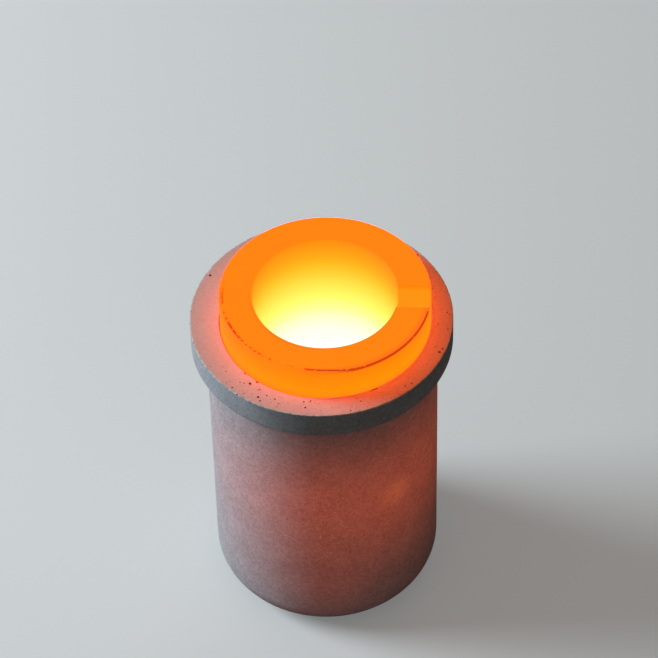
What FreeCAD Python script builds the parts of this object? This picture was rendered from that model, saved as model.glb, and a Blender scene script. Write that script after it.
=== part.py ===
# Foundry crucible: a thick-walled graphite crucible standing in a flanged pot of slip-cast fused silica.
# Millimetres. +Z is up, out of the mouth, and +X points along the pouring groove.
# The origin is the centre of the pot's base, on the axis of its outside.
import FreeCAD, Part
import os
import Sketcher

sizes = {
    # the pot
    "collar_diameter": 80.0,
    "collar_thickness": 9.0,
    "body_diameter": 70.8,
    "pot_height": 110.0,
    "pot_floor": 4.0,
    "pot_corner": 11.0,          # outside radius where the wall turns into the floor
    "collar_root": 1.5,          # bevel where the collar leaves the body
    "collar_edge": 0.3,          # bevel on the collar's lower edge
    "ground_edge": 0.3,          # bevel left by grinding the collar's face flat
    # the pot's cavity, cast a little off the outside's axis
    "cavity_diameter": 64.6,
    "cavity_corner": 6.0,        # bevel where the wall turns into the floor
    "cavity_mouth": 0.2,
    "cavity_shift_x": 1.4,
    "cavity_shift_y": -0.7,
    # the nick in the collar's top edge
    "nick_radius": 1.2,
    "nick_rise": 0.4,            # how far the nick's centre lies out from the edge, and above it
    "nick_turn": -11.0,          # degrees about the axis, from +X
    # the crucible, which stands against one side of the cavity
    "crucible_diameter": 64.0,
    "bore_diameter": 44.0,
    "rim_stand": 11.2,           # how far the rim stands out of the pot
    "crucible_floor": 12.0,
    "crucible_foot": 7.0,        # bevel round the foot, which clears the cavity's own
    "bore_corner": 12.0,         # the bore's round bottom
    "rim_bevel": 0.4,
    "bore_bevel": 0.25,
    "crucible_shift_x": 1.3,
    "crucible_shift_y": -0.8,
    # the pouring groove, milled across the rim with a round-nosed cutter
    "groove_cutter": 5.6,        # the cutter's radius
    "groove_depth": 2.2,
    "groove_offset": -0.85,      # how far the cut missed the crucible's middle
    "groove_lip": 0.4,           # rounding of the groove's two long edges
}

doc = FreeCAD.newDocument("FoundryCrucible")
sheet = doc.addObject("Spreadsheet::Sheet", "Sizes")
for row, (alias, size) in enumerate(sizes.items(), start=1):
    sheet.set(f"A{row}", alias)
    sheet.set(f"B{row}", str(size))
    sheet.setAlias(f"B{row}", alias)
doc.recompute()


def value_of(expression):
    return 0.0 if expression is None else float(sheet.evalExpression(expression))


def new_body(label):
    body = doc.addObject("PartDesign::Body", label)
    body.Label = label
    return body


def new_sketch(body, role, name):
    sketch = body.newObject("Sketcher::SketchObject", name)
    plane = next(item for item in body.Origin.OriginFeatures if item.Role == role)
    sketch.AttachmentSupport = [(plane, "")]
    sketch.MapMode = "FlatFace"
    return sketch


def pin_point(sketch, edge, point, spot):
    # ties a point to its two expressions; None holds it on the axis
    for kind, axis, expression in zip(("DistanceX", "DistanceY"), (-2, -1), spot):
        if expression is None:
            sketch.addConstraint(Sketcher.Constraint("PointOnObject", edge, point, axis))
        else:
            constraint = Sketcher.Constraint(kind, -1, 1, edge, point, value_of(expression))
            index = sketch.addConstraint(constraint)
            sketch.setExpression(f"Constraints[{index}]", expression)


def draw_outline(sketch, corners):
    # a closed outline of straight edges, from corner to corner
    spots = [FreeCAD.Vector(value_of(across), value_of(up), 0) for across, up in corners]
    for start, end in zip(spots, spots[1:] + spots[:1]):
        sketch.addGeometry(Part.LineSegment(start, end), False)
    last = len(corners) - 1
    for edge, corner in enumerate(corners):
        before = edge - 1 if edge else last
        sketch.addConstraint(Sketcher.Constraint("Coincident", before, 2, edge, 1))
        pin_point(sketch, edge, 1, corner)


def draw_circle(sketch, diameter, spot):
    centre = FreeCAD.Vector(value_of(spot[0]), value_of(spot[1]), 0)
    radius = value_of(diameter) / 2
    sketch.addGeometry(Part.Circle(centre, FreeCAD.Vector(0, 0, 1), radius), False)
    index = sketch.addConstraint(Sketcher.Constraint("Diameter", 0, 2 * radius))
    sketch.setExpression(f"Constraints[{index}]", diameter)
    pin_point(sketch, 0, 3, spot)


def turn(body, name, corners):
    # revolves a section drawn in the XZ plane about the Z axis
    sketch = new_sketch(body, "XZ_Plane", name + "_section")
    draw_outline(sketch, corners)
    turned = body.newObject("PartDesign::Revolution", name)
    turned.Profile = sketch
    turned.ReferenceAxis = (sketch, ["V_Axis"])
    turned.Angle = 360
    doc.recompute()


def cut_circle(body, name, plane, diameter, spot, length, start=None, flipped=False):
    # cuts a round pocket from a plane; start lifts the sketch off the plane along its normal
    before = body.Shape.Volume
    sketch = new_sketch(body, plane, name + "_circle")
    draw_circle(sketch, diameter, spot)
    if start is not None:
        sketch.setExpression("AttachmentOffset.Base.z", start)
    pocket = body.newObject("PartDesign::Pocket", name)
    pocket.Profile = sketch
    pocket.Type = "Length"
    pocket.Reversed = flipped
    pocket.setExpression("Length", length)
    doc.recompute()
    if body.Shape.Volume > before - 1:
        raise RuntimeError(f"{name} cuts nothing")


def ring_edges(body, radius, height):
    # names of the circular edges with this radius at this height
    names = []
    for number, edge in enumerate(body.Shape.Edges, start=1):
        if not isinstance(edge.Curve, Part.Circle):
            continue
        off = abs(edge.Curve.Radius - value_of(radius)) + abs(edge.Curve.Center.z - value_of(height))
        if off < 0.01:
            names.append(f"Edge{number}")
    return names


def level_edges(body, height):
    # names of the straight edges that lie along X at this height
    names = []
    for number, edge in enumerate(body.Shape.Edges, start=1):
        if not isinstance(edge.Curve, Part.Line):
            continue
        along = abs(edge.Curve.Direction.x) > 0.99
        if along and abs(edge.CenterOfMass.z - value_of(height)) < 0.01:
            names.append(f"Edge{number}")
    return names


def dress(body, kind, name, edges, size):
    # a Fillet or Chamfer on edges of the body's last feature
    if not edges:
        raise RuntimeError(f"{name} finds no edge")
    base = body.Tip
    feature = body.newObject(f"PartDesign::{kind}", name)
    feature.Base = (base, edges)
    feature.setExpression("Radius" if kind == "Fillet" else "Size", size)
    doc.recompute()


def move(item, **places):
    for axis, expression in places.items():
        item.setExpression(f"Placement.Base.{axis}", expression)
    doc.recompute()


def make_pot():
    pot = new_body("pot")
    collar = "Sizes.collar_diameter / 2"
    wall = "Sizes.body_diameter / 2"
    top = "Sizes.pot_height"
    under_collar = "Sizes.pot_height - Sizes.collar_thickness"
    turn(pot, "pot_outside", [
        (None, None),
        (wall, None),
        (wall, under_collar),
        (collar, under_collar),
        (collar, top),
        (None, top),
    ])
    shift = ("Sizes.cavity_shift_x", "Sizes.cavity_shift_y")
    depth = "Sizes.pot_height - Sizes.pot_floor"
    cut_circle(pot, "cavity", "XY_Plane", "Sizes.cavity_diameter", shift, depth, start=top)
    cavity = "Sizes.cavity_diameter / 2"
    dress(pot, "Chamfer", "cavity_floor", ring_edges(pot, cavity, "Sizes.pot_floor"), "Sizes.cavity_corner")
    dress(pot, "Chamfer", "cavity_lip", ring_edges(pot, cavity, top), "Sizes.cavity_mouth")

    # the outside corner comes after the cavity's, so that the wall stays whole between them
    dress(pot, "Fillet", "base_corner", ring_edges(pot, wall, "0"), "Sizes.pot_corner")
    dress(pot, "Chamfer", "under_collar", ring_edges(pot, wall, under_collar), "Sizes.collar_root")
    dress(pot, "Chamfer", "lower_edge", ring_edges(pot, collar, under_collar), "Sizes.collar_edge")
    dress(pot, "Chamfer", "upper_edge", ring_edges(pot, collar, top), "Sizes.ground_edge")

    before = pot.Shape.Volume
    nick = pot.newObject("PartDesign::SubtractiveSphere", "nick")
    nick.setExpression("Radius", "Sizes.nick_radius")
    reach = "(Sizes.collar_diameter / 2 + Sizes.nick_rise)"
    move(nick,
         x=f"{reach} * cos(Sizes.nick_turn)",
         y=f"{reach} * sin(Sizes.nick_turn)",
         z="Sizes.pot_height + Sizes.nick_rise")
    if pot.Shape.Volume >= before:
        raise RuntimeError("nick cuts nothing")
    return pot


def make_crucible():
    crucible = new_body("crucible")
    wall = "Sizes.crucible_diameter / 2"
    bore = "Sizes.bore_diameter / 2"
    floor = "Sizes.crucible_floor"
    top = "Sizes.pot_height + Sizes.rim_stand - Sizes.pot_floor"
    turn(crucible, "crucible_section", [
        (None, None),
        (wall, None),
        (wall, top),
        (bore, top),
        (bore, floor),
        (None, floor),
    ])
    dress(crucible, "Chamfer", "foot", ring_edges(crucible, wall, "0"), "Sizes.crucible_foot")
    dress(crucible, "Fillet", "bore_floor", ring_edges(crucible, bore, floor), "Sizes.bore_corner")
    dress(crucible, "Chamfer", "rim_outside", ring_edges(crucible, wall, top), "Sizes.rim_bevel")
    dress(crucible, "Chamfer", "rim_inside", ring_edges(crucible, bore, top), "Sizes.bore_bevel")

    # the groove runs from the axis out through the +X side of the rim only
    axis_height = f"{top} - Sizes.groove_depth + Sizes.groove_cutter"
    spot = ("Sizes.groove_offset", axis_height)
    cut_circle(crucible, "pouring_groove", "YZ_Plane", "2 * Sizes.groove_cutter", spot,
               "Sizes.crucible_diameter / 2 + 1", flipped=True)
    dress(crucible, "Fillet", "groove_edges", level_edges(crucible, top), "Sizes.groove_lip")
    move(crucible, x="Sizes.crucible_shift_x", y="Sizes.crucible_shift_y", z="Sizes.pot_floor")
    return crucible


bodies = [make_pot(), make_crucible()]
doc.recompute()
for item in doc.Objects:
    if "Invalid" in item.State or "Error" in item.State:
        raise RuntimeError(f"{item.Label} failed: {item.State}")
for body in bodies:
    if body.Shape.isNull() or not body.Shape.isValid() or len(body.Shape.Solids) != 1:
        raise RuntimeError(f"{body.Label} is not one valid solid")

os.makedirs("parts", exist_ok=True)
for body in bodies:
    body.Shape.exportStep(f"parts/{body.Label}.step")
    box = body.Shape.BoundBox
    print(f"{body.Label}: {body.Shape.Volume / 1000:.1f} cm3, z {box.ZMin:.2f} to {box.ZMax:.2f} mm")
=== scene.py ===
# A foundry crucible at casting heat: thick graphite in a flanged pot of sandy fused silica.
import math
import random

import bpy
from mathutils import Matrix, Vector


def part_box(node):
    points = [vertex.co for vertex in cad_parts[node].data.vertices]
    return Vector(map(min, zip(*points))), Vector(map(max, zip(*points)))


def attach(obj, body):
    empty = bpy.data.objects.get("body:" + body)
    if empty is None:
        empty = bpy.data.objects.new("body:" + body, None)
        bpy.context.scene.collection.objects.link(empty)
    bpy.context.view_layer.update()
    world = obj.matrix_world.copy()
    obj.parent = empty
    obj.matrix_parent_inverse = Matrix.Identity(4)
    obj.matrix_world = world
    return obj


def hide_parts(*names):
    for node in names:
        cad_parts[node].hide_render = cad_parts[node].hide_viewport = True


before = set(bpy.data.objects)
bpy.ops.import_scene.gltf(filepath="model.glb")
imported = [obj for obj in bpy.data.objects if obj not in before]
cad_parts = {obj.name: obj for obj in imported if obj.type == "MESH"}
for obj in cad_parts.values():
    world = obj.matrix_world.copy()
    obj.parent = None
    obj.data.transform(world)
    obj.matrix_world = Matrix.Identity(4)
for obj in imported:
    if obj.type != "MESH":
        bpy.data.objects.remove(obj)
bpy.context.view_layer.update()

mm = 0.001
potLow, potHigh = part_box("pot")
crucibleLow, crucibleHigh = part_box("crucible")
collarTop = potHigh.z
rimTop = crucibleHigh.z
crucibleMiddle = (crucibleLow + crucibleHigh) / 2
chance = random.Random(31)
bpy.ops.object.select_all(action="DESELECT")


class Section:
    # half of a cross-section, drawn in the XZ plane by extruding one point, then spun about the Z axis
    def __init__(self, name, across, up):
        bpy.ops.object.select_all(action="DESELECT")
        bpy.ops.mesh.primitive_plane_add(size=mm)
        self.piece = bpy.context.object
        self.piece.name = name
        self.piece.data.name = name
        bpy.ops.object.mode_set(mode="EDIT")
        bpy.ops.mesh.merge(type="CENTER")
        bpy.ops.transform.translate(value=(across, 0, up))
        self.across = across
        self.up = up

    def line(self, across, up, steps=1):
        step = ((across - self.across) / steps, 0, (up - self.up) / steps)
        for _ in range(steps):
            bpy.ops.mesh.extrude_region_move(TRANSFORM_OT_translate={"value": step})
        self.across = across
        self.up = up

    def arc(self, centreAcross, centreUp, turn, steps):
        # turn is in degrees, anticlockwise with X to the right and Z up
        angle = math.radians(turn)
        bpy.ops.mesh.spin(steps=steps, angle=angle, center=(centreAcross, 0, centreUp), axis=(0, 1, 0))
        out = self.across - centreAcross
        rise = self.up - centreUp
        self.across = centreAcross + out * math.cos(angle) - rise * math.sin(angle)
        self.up = centreUp + out * math.sin(angle) + rise * math.cos(angle)

    def spin(self, steps, centre=(0, 0)):
        # spins the section all the way round, then moves the turned piece over its own centre
        bpy.ops.mesh.select_all(action="SELECT")
        bpy.ops.mesh.spin(steps=steps, angle=math.tau, center=(0, 0, 0), axis=(0, 0, 1), use_auto_merge=True)
        bpy.ops.mesh.select_all(action="SELECT")
        bpy.ops.mesh.remove_doubles(threshold=mm / 1000)
        bpy.ops.mesh.normals_make_consistent(inside=False)
        bpy.ops.transform.translate(value=(centre[0], centre[1], 0))
        bpy.ops.object.mode_set(mode="OBJECT")
        return self.piece


def activate(piece):
    bpy.ops.object.select_all(action="DESELECT")
    piece.select_set(True)
    bpy.context.view_layer.objects.active = piece


def zone(piece, name, weightAt):
    # a vertex group whose weights come from a place on the piece
    group = piece.vertex_groups.new(name=name)
    for vertex in piece.data.vertices:
        weight = weightAt(vertex.co)
        if weight > 0:
            group.add([vertex.index], weight, "REPLACE")


def roughen(piece, name, grain, depth, sunk=0.2, level=0.8, zoneName=""):
    # presses a cloudy pattern into the surface: fully where it is below sunk, not at all above level
    texture = bpy.data.textures.new(name, "CLOUDS")
    texture.noise_scale = grain
    texture.use_color_ramp = True
    for element, position, tone in zip(texture.color_ramp.elements, (sunk, level), (0, 1)):
        element.position = position
        element.color = (tone, tone, tone, 1)
    modifier = piece.modifiers.new(name, "DISPLACE")
    modifier.texture = texture
    modifier.texture_coords = "LOCAL"
    modifier.mid_level = 1.0
    modifier.strength = depth
    modifier.vertex_group = zoneName
    activate(piece)
    bpy.ops.object.modifier_apply(modifier=name)


def carve(piece, cutter, name):
    modifier = piece.modifiers.new(name, "BOOLEAN")
    modifier.object = cutter
    modifier.solver = "MANIFOLD"
    activate(piece)
    bpy.ops.object.modifier_apply(modifier=name)
    bpy.data.objects.remove(cutter)


def stones(name, spots):
    # one cutter made of small uneven lumps; a spot is (place, radius, stretch, turn in degrees),
    # and a spot that would touch an earlier one is left out
    lumps = []
    kept = []
    for place, radius, stretch, turn in spots:
        reach = 1.15 * radius * stretch      # half of the lump's greatest length, with some room
        if any((Vector(place) - Vector(other)).length < reach + size for other, size in kept):
            continue
        kept.append((place, reach))
        bpy.ops.object.select_all(action="DESELECT")
        bpy.ops.mesh.primitive_ico_sphere_add(subdivisions=2, radius=radius, location=place)
        lump = bpy.context.object
        lump.scale = (chance.uniform(0.8, 1.1), stretch * chance.uniform(0.85, 1.1), chance.uniform(0.7, 1))
        lump.rotation_euler = (chance.uniform(-0.3, 0.3), chance.uniform(-0.3, 0.3), math.radians(turn))
        lumps.append(lump)
    for lump in lumps:
        lump.select_set(True)
    bpy.context.view_layer.objects.active = lumps[0]
    bpy.ops.object.join()
    cutter = bpy.context.object
    bpy.ops.object.transform_apply(location=True, rotation=True, scale=True)
    cutter.name = name
    print(name, "has", len(lumps), "lumps")
    return cutter


def around(radius, turn, height, centre=(0, 0)):
    # a place on a circle; turn is in degrees from +X, anticlockwise from above
    angle = math.radians(turn)
    return (centre[0] + radius * math.cos(angle), centre[1] + radius * math.sin(angle), height)


def settle(piece, node, material, sharpAngle=35):
    activate(piece)
    bpy.ops.object.shade_smooth_by_angle(angle=math.radians(sharpAngle))
    piece.data.materials.clear()
    piece.data.materials.append(material)
    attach(piece, "root")
    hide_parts(node)
    triangles = sum(len(face.vertices) - 2 for face in piece.data.polygons)
    print(piece.name, "has", triangles, "triangles")


class Wire:
    # wraps a node's socket, so that shader sums read as ordinary ones
    def __init__(self, tree, socket=None):
        self.tree = tree
        self.socket = socket

    def node(self, kind, settings=None, inputs=None, output=0):
        made = self.tree.nodes.new(kind)
        for name, value in (settings or {}).items():
            if name == "stops":
                self.setStops(made.color_ramp, value)
            else:
                setattr(made, name, value)
        for name, value in (inputs or {}).items():
            if isinstance(value, Wire):
                self.tree.links.new(value.socket, made.inputs[name])
            else:
                made.inputs[name].default_value = value
        return Wire(self.tree, made.outputs[output])

    def setStops(self, ramp, stops):
        ramp.elements.remove(ramp.elements[1])
        ramp.elements[0].position = stops[0][0]
        ramp.elements[0].color = (*stops[0][1], 1)
        for position, colour in stops[1:]:
            ramp.elements.new(position).color = (*colour, 1)

    def out(self, name):
        return Wire(self.tree, self.socket.node.outputs[name])

    def sum(self, operation, *values):
        return self.node("ShaderNodeMath", {"operation": operation}, dict(enumerate(values)))

    def __add__(self, other):
        return self.sum("ADD", self, other)

    def __sub__(self, other):
        return self.sum("SUBTRACT", self, other)

    def __rsub__(self, other):
        return self.sum("SUBTRACT", other, self)

    def __mul__(self, other):
        return self.sum("MULTIPLY", self, other)

    def __truediv__(self, other):
        return self.sum("DIVIDE", self, other)

    __radd__ = __add__
    __rmul__ = __mul__

    def low(self, other):
        return self.sum("MINIMUM", self, other)

    def high(self, other):
        return self.sum("MAXIMUM", self, other)

    def fade(self, start, end):
        # 0 at start, 1 at end, with soft ends; end may be the smaller
        if end < start:
            return 1 - self.fade(end, start)
        settings = {"interpolation_type": "SMOOTHSTEP"}
        return self.node("ShaderNodeMapRange", settings, {"Value": self, "From Min": start, "From Max": end})

    def ramp(self, stops, interpolation="LINEAR"):
        made = self.node("ShaderNodeValToRGB", {"stops": stops}, {"Fac": self})
        made.socket.node.color_ramp.interpolation = interpolation
        return made

    def mix(self, first, second):
        # this socket is the share of the second colour
        first, second = ((*one, 1) if isinstance(one, tuple) else one for one in (first, second))
        return self.node("ShaderNodeMix", {"data_type": "RGBA"}, {0: self, 6: first, 7: second}, output=2)

    def noise(self, size, detail=2.0, roughness=0.5):
        values = {"Vector": self, "Scale": 1 / size, "Detail": detail, "Roughness": roughness}
        return self.node("ShaderNodeTexNoise", None, values)

    def grains(self, size):
        values = {"Vector": self, "Scale": 1 / size}
        return self.node("ShaderNodeTexVoronoi", None, values)

    def distanceTo(self, spot):
        values = {0: self, 1: spot}
        return self.node("ShaderNodeVectorMath", {"operation": "DISTANCE"}, values, output="Value")

    def feed(self, shader, **sockets):
        # names are written with underscores for spaces
        for name, value in sockets.items():
            target = shader.inputs[name.replace("_", " ")]
            if isinstance(value, Wire):
                self.tree.links.new(value.socket, target)
            else:
                target.default_value = (*value, 1) if isinstance(value, tuple) else value


def newMaterial(name):
    material = bpy.data.materials.new(name)
    material.use_nodes = True
    tree = material.node_tree
    return material, tree.nodes["Principled BSDF"], Wire(tree)


def cylinderPlace(wire, middle):
    # Object coordinates, and from them radius about an upright axis, and x, y and z, all in mm
    place = wire.node("ShaderNodeTexCoord", output="Object")
    axes = place.node("ShaderNodeSeparateXYZ", None, {0: place})
    x = (axes.out("X") - middle[0]) / mm
    y = (axes.out("Y") - middle[1]) / mm
    z = axes.out("Z") / mm
    radius = x.sum("SQRT", x * x + y * y)
    return place, radius, x, y, z


# the pot: a plain cylinder with a rounded foot and a flat collar, all of sintered silica sand
potPlan = {
    "wallRadius": 35.4 * mm,
    "baseCorner": 11 * mm,
    "collarThickness": 9 * mm,
    "underCollarRound": 1.5 * mm,
    "collarLowerRound": 0.3 * mm,
    "collarUpperRound": 0.25 * mm,
    "cavityRadius": 32.3 * mm,
    "cavityMouth": 0.2 * mm,
    "cavityShift": (1.4 * mm, -0.7 * mm),
    "cavityFloor": 4 * mm,
    "cavityCorner": 6 * mm,
    "stepsAround": 720,
    # slow waves left by the mould, and how far apart they are
    "unevenness": 0.08 * mm,
    "waveLength": 14 * mm,
    # the collar's crumbled top edge: depth, size of a crumb, and how wide a band it takes
    "edgeRaggedness": 0.3 * mm,
    "edgeCrumb": 1.0 * mm,
    "edgeBand": 0.9 * mm,
    # radius from the axis, turn in degrees, size, and rise above the collar
    "nick": (40.4 * mm, -11, 1.2 * mm, 0.4 * mm),
    # radius from the axis in mm, turn in degrees, size in mm
    "pits": [(34.1, -126.4, 0.6), (32.3, -124.1, 0.5), (32.0, -133.2, 0.5), (37.2, -118.3, 0.42),
             (35.8, -110.6, 0.38), (38.4, 154.5, 0.5), (38.6, 42.3, 0.75), (37.8, -46.6, 0.45),
             (38.4, -43.6, 0.45), (38.5, -21, 0.5), (39.0, -18.8, 0.45)],
    # how many, then the smallest size and the spread above it in mm
    "chips": 110,
    "chipSize": (0.13, 0.24),
    "finePits": 120,
    "finePitSize": (0.12, 0.14),
    "finePitTurn": (-45, 60),     # middle and spread, in degrees
}


def makePot(plan):
    collar = (potHigh.x - potLow.x) / 2
    wall, corner = plan["wallRadius"], plan["baseCorner"]
    ledge = collarTop - plan["collarThickness"]
    root, low, high = plan["underCollarRound"], plan["collarLowerRound"], plan["collarUpperRound"]
    cavity, mouth = plan["cavityRadius"], plan["cavityMouth"]
    floor, bend = potLow.z + plan["cavityFloor"], plan["cavityCorner"]

    outline = Section("potShell", 0, potLow.z)
    outline.line(wall - corner, potLow.z, 6)
    outline.arc(wall - corner, potLow.z + corner, 90, 14)
    outline.line(wall, ledge - root, 24)
    outline.arc(wall + root, ledge - root, -90, 5)
    outline.line(collar - low, ledge, 3)
    outline.arc(collar - low, ledge + low, 90, 3)
    outline.line(collar, collarTop - 3 * mm, 5)      # the rows are closer from here up, for the chips
    outline.line(collar, collarTop - high, 8)
    outline.arc(collar - high, collarTop - high, 90, 3)
    outline.line(cavity + mouth, collarTop, 16)
    outline.line(cavity, collarTop - mouth)
    outline.line(cavity, floor + bend, 10)
    outline.arc(cavity - bend, floor + bend, -90, 5)
    outline.line(0, floor, 4)
    pot = outline.spin(plan["stepsAround"])

    # the cavity stands a little off the pot's own axis
    activate(pot)
    bpy.ops.object.mode_set(mode="EDIT")
    bpy.ops.mesh.select_all(action="DESELECT")
    bpy.ops.object.mode_set(mode="OBJECT")
    slack = 0.01 * mm
    reach = cavity + mouth + slack
    for vertex in pot.data.vertices:
        vertex.select = vertex.co.z > floor - slack and vertex.co.xy.length < reach
    bpy.ops.object.mode_set(mode="EDIT")
    bpy.ops.mesh.select_mode(type="VERT")
    bpy.ops.transform.translate(value=(*plan["cavityShift"], 0))
    bpy.ops.object.mode_set(mode="OBJECT")

    radius, turn, size, rise = plan["nick"]
    spots = [(around(radius, turn, collarTop + rise), size, 1, 0)]
    for radius, turn, size in plan["pits"]:
        place = around(radius * mm, turn, collarTop + 0.25 * size * mm)
        spots.append((place, size * mm, chance.uniform(1, 1.4), chance.uniform(0, 180)))
    least, spread = plan["chipSize"]
    for _ in range(plan["chips"]):
        turn = chance.uniform(-180, 180)
        size = (least + spread * chance.random() ** 3) * mm
        radius = collar + chance.uniform(-0.1, 0.15) * mm
        height = collarTop + chance.uniform(-0.2, 0.05) * mm
        spots.append((around(radius, turn, height), size, chance.uniform(1, 2), turn))
    least, spread = plan["finePitSize"]
    for _ in range(plan["finePits"]):
        turn = chance.gauss(*plan["finePitTurn"])
        size = (least + spread * chance.random() ** 2) * mm
        radius = chance.uniform(cavity + 1.6 * mm, collar - 0.7 * mm)
        spots.append((around(radius, turn, collarTop), size, chance.uniform(1, 1.5), chance.uniform(0, 180)))
    carve(pot, stones("potPits", spots), "potPits")

    def collarEdge(place):
        # 1 on the collar's top edge, 0 a band's width away from it
        return max(0, 1 - math.hypot(place.xy.length - collar, place.z - collarTop) / plan["edgeBand"])

    zone(pot, "collarEdge", collarEdge)
    roughen(pot, "edgeRaggedness", plan["edgeCrumb"], plan["edgeRaggedness"], 0.15, 0.42, "collarEdge")
    roughen(pot, "unevenness", plan["waveLength"], plan["unevenness"])
    return pot


# the crucible: turned graphite, with a rim that stands proud of the pot and a shallow pouring groove
cruciblePlan = {
    "wallRadius": 32 * mm,
    "boreRadius": 22 * mm,
    "floor": 12 * mm,
    "foot": 7 * mm,
    "boreCorner": 12 * mm,
    "rimBevel": 0.4 * mm,
    "boreBevel": 0.25 * mm,
    "grooveRadius": 5.6 * mm,
    "grooveDepth": 2.2 * mm,
    "grooveLip": 0.4 * mm,
    "grooveOffset": -0.85 * mm,
    "stepsAround": 540,
    "wearChips": 110,
    "wearChipSize": (0.16, 0.22),  # smallest, and the spread above it, in mm
    "wearInset": 0.05 * mm,       # how far inside the rim's edge the chips' middles lie
    # worn stretches of the rim: middle turn and half width, in degrees
    "wornStretches": [(-100, 34), (-34, 14)],
    "lessWornStretches": [(150, 20), (60, 12)],
    # radius from the crucible's axis in mm, turn in degrees, size in mm
    "pits": [(26.1, 89.4, 0.3), (24.4, 80.6, 0.28), (24.0, 75.2, 0.35)],
}


def makeGrooveCutter(plan, middle):
    # the groove's section with rounded lips, drawn from one side to the other, turned to face along X
    # and drawn out through the rim
    arcRadius, lip = plan["grooveRadius"], plan["grooveLip"]
    clear = 0.02 * mm             # keeps the lips' tops off the rim's own plane
    arcUp = rimTop - plan["grooveDepth"] + arcRadius
    drop = arcUp - (rimTop - lip)
    spread = math.sqrt((arcRadius + lip) ** 2 - drop ** 2)      # from the groove's middle to a lip's
    bend = math.degrees(math.atan2(spread, drop))
    cutter = Section("grooveCutter", -spread, rimTop + clear)
    cutter.arc(-spread, rimTop - lip + clear, -bend, 5)
    cutter.arc(0, arcUp + clear, 2 * bend, 28)
    cutter.arc(spread, rimTop - lip + clear, -bend, 5)
    cutterTop = rimTop + 3 * mm
    cutter.line(spread, cutterTop)
    cutter.line(-spread, cutterTop)
    bpy.ops.mesh.select_all(action="SELECT")
    bpy.ops.mesh.edge_face_add()
    bpy.ops.transform.rotate(value=math.radians(90), orient_axis="Z", center_override=(0, 0, 0))
    bpy.ops.transform.translate(value=(middle.x, middle.y + plan["grooveOffset"], 0))
    length = plan["wallRadius"] + 2 * mm
    bpy.ops.mesh.extrude_region_move(TRANSFORM_OT_translate={"value": (length, 0, 0)})
    bpy.ops.mesh.select_all(action="SELECT")
    bpy.ops.mesh.normals_make_consistent(inside=False)
    bpy.ops.object.mode_set(mode="OBJECT")
    return cutter.piece


def makeCrucible(plan):
    middle = crucibleMiddle
    wall, bore, foot = plan["wallRadius"], plan["boreRadius"], plan["foot"]
    base = crucibleLow.z
    floor, bend = base + plan["floor"], plan["boreCorner"]
    outer, inner = plan["rimBevel"], plan["boreBevel"]

    outline = Section("crucibleBody", 0, base)
    outline.line(wall - foot, base, 4)
    outline.arc(wall - foot, base + foot, 90, 8)
    outline.line(wall, collarTop - 2 * mm, 10)
    outline.line(wall, rimTop - 2 * mm, 12)
    outline.line(wall, rimTop - outer, 6)
    outline.line(wall - outer, rimTop, 2)
    outline.line(wall - 2 * mm, rimTop, 5)
    outline.line(bore + inner, rimTop, 14)
    outline.line(bore, rimTop - inner)
    outline.line(bore, floor + bend, 28)
    outline.arc(bore - bend, floor + bend, -90, 12)
    outline.line(0, floor, 4)
    crucible = outline.spin(plan["stepsAround"], middle)
    carve(crucible, makeGrooveCutter(plan, middle), "pouringGroove")

    spots = []
    for radius, turn, size in plan["pits"]:
        spots.append((around(radius * mm, turn, rimTop + 0.1 * mm, middle), size * mm, 1.2, turn))
    stretches = plan["wornStretches"] * 3 + plan["lessWornStretches"]
    least, spread = plan["wearChipSize"]
    inset = plan["wearInset"]
    for _ in range(plan["wearChips"]):
        stretchMiddle, halfWidth = chance.choice(stretches)
        turn = stretchMiddle + halfWidth * chance.uniform(-1, 1)
        size = (least + spread * chance.random() ** 2) * mm
        place = around(wall - inset, turn, rimTop - inset, middle)
        spots.append((place, size, chance.uniform(1.3, 2.6), turn))
    carve(crucible, stones("rimChips", spots), "rimChips")
    return crucible


# sandy fused silica, off-white and a little translucent, so that the heat behind it shows
silicaPlan = {
    "paleGrain": (0.615, 0.605, 0.615),
    "darkGrain": (0.415, 0.405, 0.41),
    "paintedWarmTop": (0.56, 0.50, 0.375),  # the collar's flat top, tinted warmer: painted warm light that falls on the top face
    "paintedWarmTopShare": 0.6,
    # the pits: partly dirt, partly painted shade in the hollows and painted glow
    "pitDirtShadeAndGlow": (0.14, 0.025, 0.018),
    "paleEdgeColour": (0.80, 0.79, 0.78),
    # painted glow on the collar's top, for the hot rim's light that falls on it
    "glow": (0.25, 0.024, 0.002),
    "collarTopPaintedGlow": (0.11, 0.018, 0.0),
    "spark": (0.75, 0.13, 0.02),
    "fleck": (0.62, 0.26, 0.12),
    "fleckSize": 0.9 * mm,
    "fleckPlace": around(35.4 * mm, -95, 54 * mm),
    "sparkSize": 1.3 * mm,
    "glowSpot": around(35.3 * mm, -50, 60 * mm),
    # height over the pot's height, and the share of the glow there; its fall to nothing just under the
    # collar is painted shade from the collar
    "glowAndShadeByHeight": [(0.0, 0.0), (0.1, 0.25), (0.2, 0.46), (0.36, 0.64), (0.5, 0.95),
                     (0.58, 1.0), (0.68, 0.82), (0.78, 0.46), (0.86, 0.21), (0.91, 0.0)],
    "hotSide": -80,               # degrees from +X
    "paintedGlowSide": -10,              # the same, for the painted glow on the collar's top
    "skin": (33.5, 34.5),         # radii in mm between which the wall's outside begins
    "roughness": 0.88,
    "grainSize": 0.55 * mm,
    "blotchSize": 2.6,            # times the grain's
    "cloudSize": 9 * mm,
    "contrast": (2.4, 1.4, 0.8),  # of the grain, the blotches and the clouds
    "relief": 0.05 * mm,
}


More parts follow.
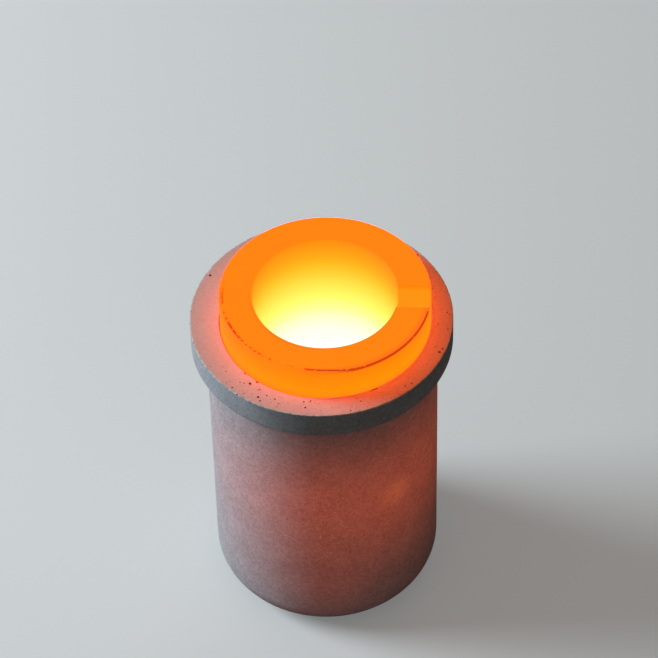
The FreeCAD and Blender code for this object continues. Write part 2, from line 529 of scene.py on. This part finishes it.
def makeSilica(plan):
    material, shader, wire = newMaterial("sandySilica")
    place, radius, x, y, z = cylinderPlace(wire, (0, 0))
    collar = (potHigh.x - potLow.x) / 2 / mm
    top = collarTop / mm

    grain = place.noise(plan["grainSize"], 3, 0.6)
    blotches = place.noise(plan["grainSize"] * plan["blotchSize"], 2)
    clouds = place.noise(plan["cloudSize"], 2)
    grainy, blotchy, cloudy = plan["contrast"]
    speckle = 0.5 + (grain - 0.5) * grainy + (blotches - 0.5) * blotchy - (clouds - 0.5) * cloudy
    colour = speckle.mix(plan["darkGrain"], plan["paleGrain"])
    topFace = z.fade(top - 0.5, top - 0.3)
    # painted light: the top face is tinted warmer and yellower than the sides, for the warm light that falls
    # on it
    colour = (topFace * plan["paintedWarmTopShare"]).mix(colour, plan["paintedWarmTop"])

    # how far a place lies below the untouched collar shows its pits and its chipped edge
    sunk = (collar - radius).low(top - z)
    nearTop = z.fade(top - 1.6, top - 1.4)
    edge = radius.fade(collar - 0.9, collar - 0.5)
    pit = sunk.fade(0.12, 0.25) * nearTop * (1 - edge)
    chip = sunk.fade(0.12, 0.24) * nearTop * edge
    arris = (collar - radius).high(top - z).fade(0.55, 0.15) * blotches.fade(0.4, 0.6)
    # the pits are darker and redder: partly dirt, partly painted shade in the hollows and painted glow
    colour = (pit * 0.9).mix(colour, plan["pitDirtShadeAndGlow"])
    # the chips, and a broken band along the collar's top edge, are paler
    colour = (chip.high(arris) * 0.7).mix(colour, plan["paleEdgeColour"])

    def facing(turn):
        # 1 on the side that faces this way, -1 on the far side
        angle = math.radians(turn)
        return (x * math.cos(angle) + y * math.sin(angle)) / radius

    # the glow through the wall, weaker away from the hot side; low down on the groove's side it is cut back
    # as painted shade
    # the glow's share by height, which falls away under the collar as painted shade
    byHeight = (z / top).ramp([(at, (share,) * 3) for at, share in plan["glowAndShadeByHeight"]], "B_SPLINE")
    side = 0.4 + facing(plan["hotSide"]).fade(-0.2, 1.0) * 0.6
    outside = radius.fade(*plan["skin"])
    mottle = 0.8 + speckle * 0.4
    # painted shade: the glow is halved low down on the +X side
    paintedShadeLowSide = 1 - x.fade(0, 25) * z.fade(48, 12) * 0.5
    share = byHeight * side * outside * mottle * paintedShadeLowSide
    glow = share.mix((0.0, 0.0, 0.0), plan["glow"])

    # painted glow on the collar's top, on the side where the groove is, standing in for the hot rim's light
    # that falls on it
    paintedGlowMask = facing(plan["paintedGlowSide"]).fade(0.05, 0.75)
    glow = (paintedGlowMask * topFace * mottle).mix(glow, plan["collarTopPaintedGlow"])

    # painted glow in the emission: single bright grains, brightest round the glow spot, a soft spot of glow
    # there, and pale glowing flecks round their own place
    dots = place.grains(plan["sparkSize"])
    chosen = dots.out("Color").node("ShaderNodeSeparateColor", None, {0: dots.out("Color")})
    dot = dots.fade(0.26, 0.1) * chosen.fade(0.7, 0.95)
    spot = place.distanceTo(plan["glowSpot"])
    sparks = dot * byHeight * outside * (0.12 * side + 0.45 * spot.fade(8 * mm, 2 * mm))
    glow = sparks.mix(glow, plan["spark"])
    glow = (spot.fade(9 * mm, 0) * (0.12 + 0.12 * blotches)).mix(glow, plan["spark"])
    flecks = place.grains(plan["fleckSize"])
    bright = flecks.out("Color").node("ShaderNodeSeparateColor", None, {0: flecks.out("Color")})
    fleck = flecks.fade(0.3, 0.12) * bright.fade(0.35, 0.9) * outside
    fleckZone = place.distanceTo(plan["fleckPlace"]).fade(30 * mm, 6 * mm)
    glow = (fleck * fleckZone * 0.5).mix(glow, plan["fleck"])

    bump = grain.node("ShaderNodeBump", None, {"Strength": 0.7, "Distance": plan["relief"], "Height": grain})
    bump.feed(shader, Base_Color=colour, Roughness=plan["roughness"], Specular_IOR_Level=0.0, Normal=bump,
              Emission_Color=glow, Emission_Strength=1.0)
    return material


# graphite at casting heat; a colour here is the look of the surface divided by the strength
graphitePlan = {
    "cold": (0.010, 0.007, 0.004),
    "strength": 3.6,
    # depth below the rim in mm, then how the wall of the bore looks there: green and blue, red being full
    "boreHeat": [(0, 0.265, 0.002), (3, 0.32, 0.003), (6.3, 0.385, 0.004), (9, 0.455, 0.008),
                 (12, 0.555, 0.018), (15, 0.65, 0.037), (20, 0.83, 0.08), (25, 1.0, 0.145),
                 (30, 1.1, 0.32), (35, 1.2, 0.64), (40, 1.25, 0.85), (47, 1.3, 1.0)],
    "sideHeat": [(0, 0.228, 0.001), (4, 0.26, 0.001), (8, 0.30, 0.001), (10.4, 0.27, 0.005),
                 (12, 0.20, 0.008)],
    "rimHeat": (0.232, 0.001),
    "grooveHeat": (0.30, 0.003),
    "wornHeat": (0.17, 0.0155, 0.0004),
    "duller": (0.25, 0.047, 0.0015),   # the rim's outer band
    "boreLine": (0.21, 0.052, 0.0016),
    "patch": (1.0, 0.045, 0.001),
    "patchSize": 6 * mm,
    "dashSize": 1.1 * mm,
    "stretchSize": 9 * mm,
    # how far inside the rim's edge the worn line runs, and how much nearer it comes by the groove, in mm
    "wornInset": (1.0, 0.85),
    "roughness": 0.55,
    "grainSize": 0.35 * mm,
    "relief": 0.02 * mm,
}


def makeGraphite(plan):
    material, shader, wire = newMaterial("hotGraphite")
    place, radius, x, y, z = cylinderPlace(wire, crucibleMiddle)
    top = rimTop / mm
    depth = top - z
    strength = plan["strength"]
    bore = cruciblePlan["boreRadius"] / mm
    wall = cruciblePlan["wallRadius"] / mm
    grooveMiddle = cruciblePlan["grooveOffset"] / mm
    grooveHalf = cruciblePlan["grooveRadius"] / mm
    deepest = plan["boreHeat"][-1][0]

    def heat(green, blue):
        return (1.0, green / strength, blue / strength)

    inside = (depth / deepest).ramp([(at / deepest, heat(*look)) for at, *look in plan["boreHeat"]])
    outside = (depth / deepest).ramp([(at / deepest, heat(*look)) for at, *look in plan["sideHeat"]])
    rim = depth.fade(0.15, 1.3).mix(heat(*plan["rimHeat"]), heat(*plan["grooveHeat"]))
    colour = radius.fade(wall - 0.5, wall - 0.15).mix(rim, outside)
    colour = radius.fade(bore + 0.3, bore + 0.05).mix(colour, inside)

    # slow patches, faint, and none in the bore
    patches = place.noise(plan["patchSize"], 3)
    patchy = patches.fade(0.35, 0.7) * 0.10 * radius.fade(bore, bore + 1)
    colour = patchy.mix(colour, plan["patch"])

    # the near side is duller towards its edge, and dark where the bore's edge is broken
    near = y.fade(8, -8)
    dull = radius.fade(wall - 2.4, wall - 1.0) * x.fade(-12, 6) * near * depth.fade(1.2, 0.4)
    colour = (dull * 0.8).mix(colour, plan["duller"])
    fromBore = radius.sum("ABSOLUTE", radius - x.fade(8, -4) * 0.5 - bore - 0.3)
    colour = (fromBore.fade(0.35, 0.1) * near * depth.fade(0.6, 0.3)).mix(colour, plan["boreLine"])

    # the outer arris is worn and cooler, in dashes that turn into a line towards the groove
    inset, nearer = plan["wornInset"]
    line = wall - inset + x.fade(0, 12) * nearer
    fromLine = radius.sum("ABSOLUTE", line - radius).high(depth - 0.3)
    dashes = place.noise(plan["dashSize"], 3, 0.6)
    stretches = place.noise(plan["stretchSize"], 1)
    wear = dashes + (stretches - 0.5) * 0.7 + x.fade(8, 16) * 0.12
    worn = fromLine.fade(0.5, 0.2) * wear.fade(0.47, 0.57) * near
    smear = fromLine.fade(1.1, 0.1) * stretches.fade(0.4, 0.6) * near
    colour = (smear * 0.55).mix(colour, plan["duller"])
    fromGroove = y.sum("ABSOLUTE", y - grooveMiddle)
    besideGroove = fromGroove.fade(grooveHalf, grooveHalf + 0.4).high(x.fade(0, -1))
    fromArris = radius.sum("ABSOLUTE", wall - radius).high(depth)
    broken = (wall - radius).low(depth).fade(0.2, 0.3) * fromArris.fade(1.4, 0.9) * besideGroove * near
    colour = (worn * besideGroove).high(broken * 0.9).mix(colour, plan["wornHeat"])

    grain = place.noise(plan["grainSize"], 2)
    rough = plan["roughness"] + (grain - 0.5) * 0.2
    bump = grain.node("ShaderNodeBump", None, {"Strength": 0.4, "Distance": plan["relief"], "Height": grain})
    bump.feed(shader, Base_Color=plan["cold"], Roughness=rough, Normal=bump, Emission_Color=colour,
              Specular_IOR_Level=0.04, Emission_Strength=strength)
    return material


settle(makePot(potPlan), "pot", makeSilica(silicaPlan))
settle(makeCrucible(cruciblePlan), "crucible", makeGraphite(graphitePlan))
print("pot and crucible are made")


studioPlan = {
    "floorSize": 6.0,
    "floorColour": (0.82, 0.785, 0.74),
    "floorBounce": (0.15, 0.15, 0.15),  # what the floor gives back to the object
    "floorLift": (0.172, 0.174, 0.176),
    "background": (0.80, 0.79, 0.77),
    "ambient": (0.05, 0.044, 0.035),
    "lampAim": 0.7,               # height that the lamps point at, over the pot's height
    # turn in degrees from +X, height in degrees, distance and size in metres, level, colour
    "lamps": {
        "keyLamp": (171, 27, 1.3, 0.7, 0.90, (0.82, 0.98, 1.11)),
        "overheadLamp": (-90, 82, 1.5, 1.4, 0.05, (1.0, 0.97, 0.9)),
        "backLamp": (75, 16, 1.4, 0.8, 0.04, (1.0, 0.97, 0.9)),
    },
}


def seenByEye(wire):
    # 1 for rays from the camera, and for what is seen in or through gloss
    path = wire.node("ShaderNodeLightPath")
    return path.high(path.out("Is Glossy Ray")).high(path.out("Is Transmission Ray"))


def makeFloor(plan):
    bpy.ops.mesh.primitive_plane_add(size=plan["floorSize"], location=(0, 0, potLow.z - 0.02 * mm))
    floor = bpy.context.object
    floor.name = "studioFloor"
    material, shader, wire = newMaterial("studioFloor")
    seen = seenByEye(wire)
    seen.feed(shader, Base_Color=seen.mix(plan["floorBounce"], plan["floorColour"]), Roughness=0.9,
              Specular_IOR_Level=0.2, Emission_Color=seen.mix((0.0, 0.0, 0.0), plan["floorLift"]),
              Emission_Strength=1.0)
    floor.data.materials.append(material)


def makeWorld(plan):
    world = bpy.data.worlds.new("studioWorld")
    bpy.context.scene.world = world
    world.use_nodes = True
    wire = Wire(world.node_tree)
    colour = seenByEye(wire).mix(plan["ambient"], plan["background"])
    colour.feed(world.node_tree.nodes["Background"], Color=colour)


def makeLamp(name, turn, height, distance, size, level, colour):
    across, up = math.radians(turn), math.radians(height)
    towards = Vector((math.cos(across) * math.cos(up), math.sin(across) * math.cos(up), math.sin(up)))
    target = Vector((0, 0, collarTop * studioPlan["lampAim"]))
    power = level * (math.pi * distance) ** 2      # a white surface facing it then renders at the level
    bpy.ops.object.light_add(type="AREA", location=target + towards * distance)
    lamp = bpy.context.object
    lamp.name = name
    lamp.rotation_euler = towards.to_track_quat("Z", "Y").to_euler()
    lamp.data.shape = "DISK"
    lamp.data.size = size
    lamp.data.energy = power
    lamp.data.color = colour


cameraPlan = {
    "turn": 3.0,                  # degrees round from the front, towards +X
    "height": 47.7,
    "lean": 1.46,                 # degrees; the camera's right side is the lower
    "distance": 1.06,
    "lens": 191.5,
    "sensor": 36,
    "aim": (2.3 * mm, -3.85 * mm),  # across and up from the middle of the collar's top
}


def makeCamera(plan):
    turn, height, lean = (math.radians(plan[name]) for name in ("turn", "height", "lean"))
    flat = Vector((math.sin(turn), -math.cos(turn), 0))
    back = flat * math.cos(height) + Vector((0, 0, math.sin(height)))
    level = Vector((math.cos(turn), math.sin(turn), 0))
    rise = back.cross(level)
    right = level * math.cos(lean) - rise * math.sin(lean)
    up = back.cross(right)
    aim = Vector((0, 0, collarTop)) + right * plan["aim"][0] + up * plan["aim"][1]
    bpy.ops.object.camera_add(location=aim + back * plan["distance"])
    camera = bpy.context.object
    camera.matrix_world = Matrix((right, up, back)).transposed().to_4x4()
    camera.location = aim + back * plan["distance"]
    camera.data.lens = plan["lens"]
    camera.data.sensor_width = plan["sensor"]
    camera.data.clip_end = 50
    bpy.context.scene.camera = camera


makeFloor(studioPlan)
makeWorld(studioPlan)
for name, lamp in studioPlan["lamps"].items():
    makeLamp(name, *lamp)
makeCamera(cameraPlan)
bpy.context.scene.view_settings.view_transform = "Standard"
print("studio is ready")
